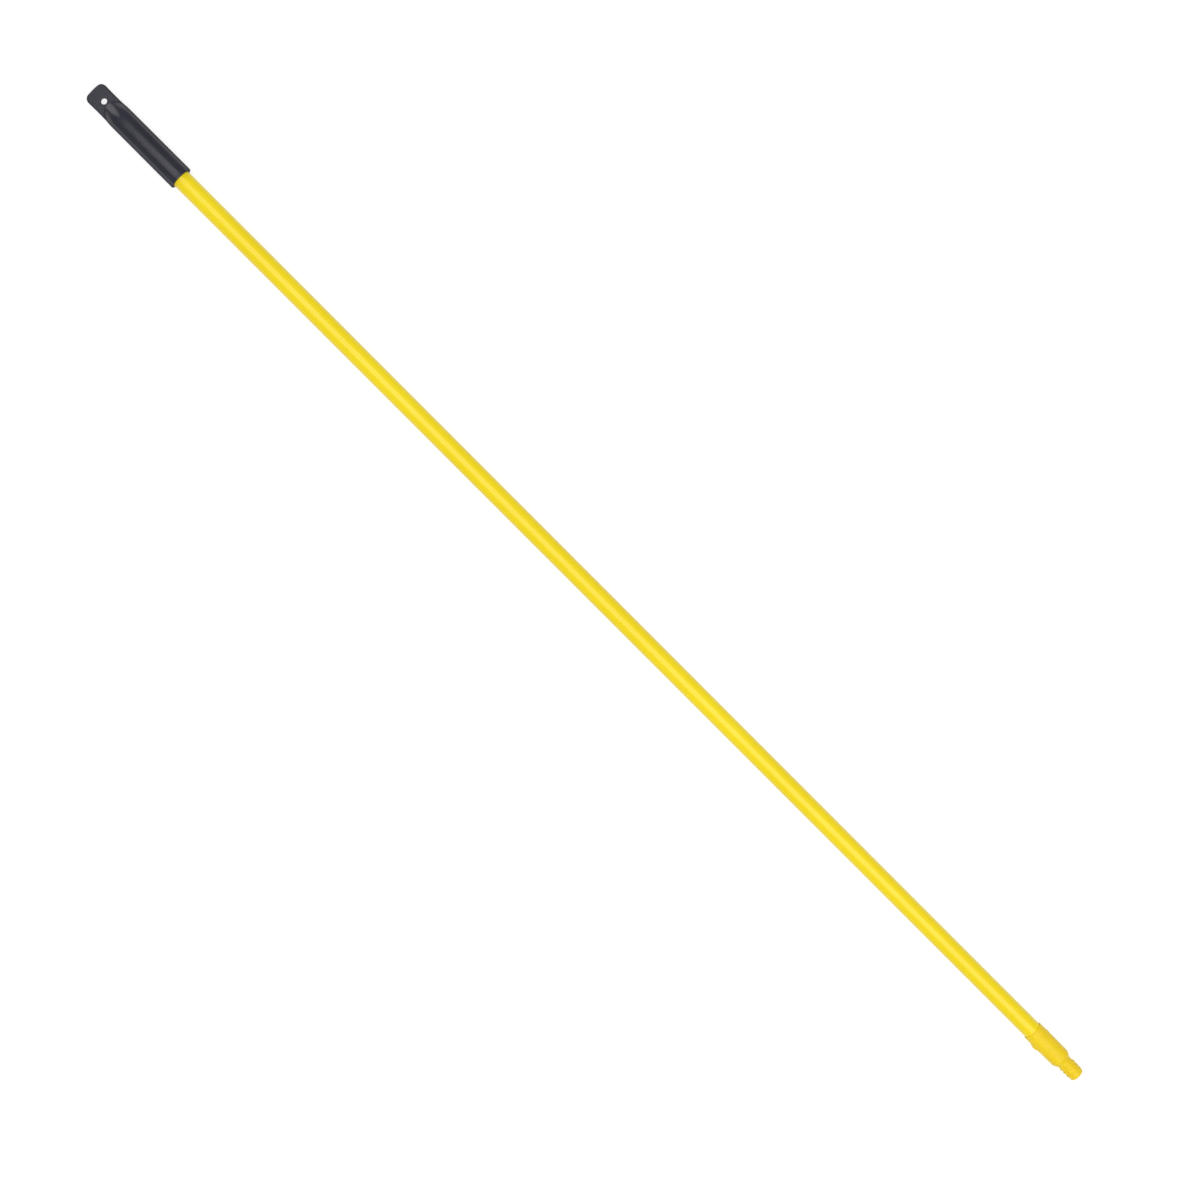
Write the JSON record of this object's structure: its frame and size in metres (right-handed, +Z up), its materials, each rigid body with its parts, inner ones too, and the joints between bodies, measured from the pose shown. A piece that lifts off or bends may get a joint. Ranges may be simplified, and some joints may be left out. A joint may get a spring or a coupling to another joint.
{
  "type": "broom handle",
  "caption": "Straight plastic-coated steel utility handle with a black hang-up grip at one end and a moulded screw-thread ferrule at the other.",
  "frame": {"origin": "centre of the handle's length, on the surface that it lies on", "axes": "+X along the handle towards the threaded tip, +Z up through the hang hole, -Y towards the prouder snap tongue"},
  "size_m": [1.524, 0.0274, 0.0275],
  "materials": {
    "galvanised_steel": "rolled strip, galvanised, bare only inside the end pieces",
    "yellow_coat": "glossy extruded polypropylene coat",
    "black_grip": "satin moulded polypropylene",
    "yellow_nylon": "satin moulded nylon"
  },
  "bodies": {
    "root": {"steel_tube": "galvanised_steel", "coating_sleeve": "yellow_coat", "hang_grip": "black_grip", "threaded_ferrule": "yellow_nylon"}
  },
  "joints": []
}
